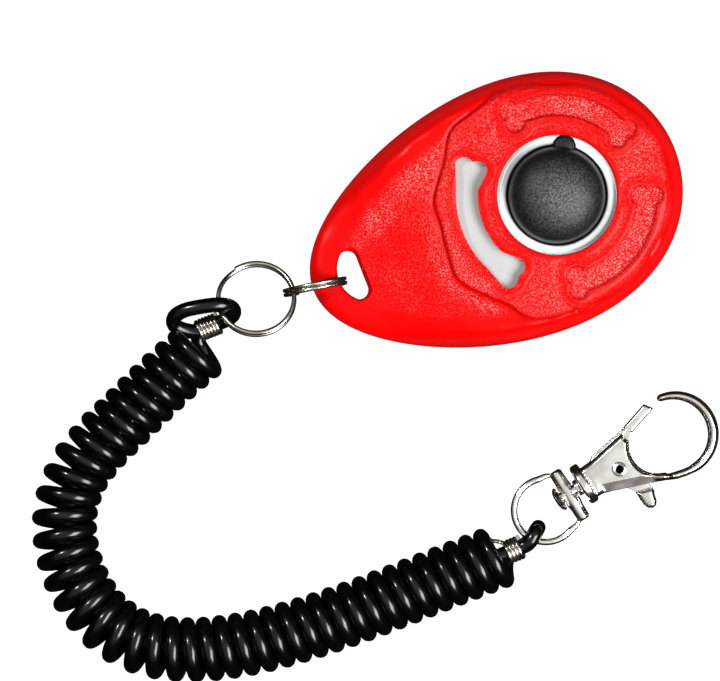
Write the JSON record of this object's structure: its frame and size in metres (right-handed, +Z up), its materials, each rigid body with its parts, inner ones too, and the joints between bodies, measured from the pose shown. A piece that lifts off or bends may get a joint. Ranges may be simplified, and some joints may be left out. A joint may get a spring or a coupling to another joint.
{
  "type": "clicker trainer",
  "caption": "Teardrop dog-training clicker with a push button, on split rings, with a coiled wrist cord and a swivel trigger clasp.",
  "frame": {"origin": "on the flat back of the case, half way along the case", "axes": "+X from the lanyard end of the case to its round head, +Y across the case, +Z up through the button"},
  "size_m": [0.1311, 0.0836, 0.02],
  "materials": {
    "red_plastic": "moulded saturated red, finely grained on the raised face and smooth on the flanks",
    "black_plastic": "moulded black, fine matt grain",
    "grey_plastic": "plain moulded grey",
    "silver_finish": "satin silver",
    "spring_steel": "bright rolled steel",
    "nickel_wire": "bright nickel plated wire",
    "clasp_plating": "bright plated casting",
    "black_cord": "glossy black extruded cord"
  },
  "bodies": {
    "case": {"top_cover": "red_plastic", "bottom_cover": "red_plastic", "bezel_plate": "silver_finish", "strip_holder": "grey_plastic", "strip_screw": "spring_steel", "case_screw_1": "spring_steel", "case_screw_2": "spring_steel", "case_screw_3": "spring_steel"},
    "button": {"button": "black_plastic"},
    "click_strip": {"click_strip": "spring_steel"},
    "small_ring": {"small_split_ring": "nickel_wire"},
    "large_ring": {"large_split_ring": "nickel_wire"},
    "lanyard": {"coil_cord": "black_cord", "ring_end_eye": "black_cord", "clasp_end_eye": "black_cord", "ring_end_ferrule": "nickel_wire", "clasp_end_ferrule": "nickel_wire"},
    "swivel_eye": {"d_ring": "clasp_plating"},
    "hook": {"hook_body": "clasp_plating", "swivel_post": "clasp_plating", "trigger_pin": "clasp_plating"},
    "trigger": {"trigger": "clasp_plating", "trigger_spring": "spring_steel"}
  },
  "joints": [
    {"name": "button_press", "type": "slide", "parent": "case", "child": "button", "axis": [0, 0, -1], "range_m": [0, 0.0015], "stiffness_N_per_m": 400, "springref_m": -0.0005},
    {"name": "strip_bend", "type": "hinge", "parent": "case", "child": "click_strip", "pos_m": [-0.009, 0, 0.0088], "axis": [0, 1, 0], "range_deg": [0, 4.2]},
    {"name": "small_ring_swing", "type": "hinge", "parent": "case", "child": "small_ring", "pos_m": [-0.02818, -0.00036, 0.0059], "axis": [0, 0, 1], "range_deg": [-30, 15]},
    {"name": "large_ring_swing", "type": "hinge", "parent": "small_ring", "child": "large_ring", "pos_m": [-0.03738, 0.0012, 0.00476], "axis": [0.1238, 0.9095, -0.3969], "range_deg": [-70, 70]},
    {"name": "lanyard_slide", "type": "hinge", "parent": "large_ring", "child": "lanyard", "pos_m": [-0.0439, 0.00235, 0.00535], "axis": [0.1491, 0.3784, 0.9135], "range_deg": [-40, 10]},
    {"name": "swivel_eye_slide", "type": "hinge", "parent": "lanyard", "child": "swivel_eye", "pos_m": [-0.01028, -0.05081, 0.004], "axis": [0, 0, 1], "range_deg": [-45, 30]},
    {"name": "hook_swivel", "type": "hinge", "parent": "swivel_eye", "child": "hook", "pos_m": [-0.00224, -0.0489, 0.004], "axis": [0.9816, 0.1908, 0], "continuous": true},
    {"name": "trigger_open", "type": "hinge", "parent": "hook", "child": "trigger", "pos_m": [0.00439, -0.04873, 0.004], "axis": [0, 0, 1], "range_deg": [-28, 0], "stiffness_Nm_per_rad": 0.01, "springref_deg": 5.73}
  ],
  "couplings": [
    {"joint": "strip_bend", "follows": "button_press", "rad_per_m": 48.077}
  ]
}
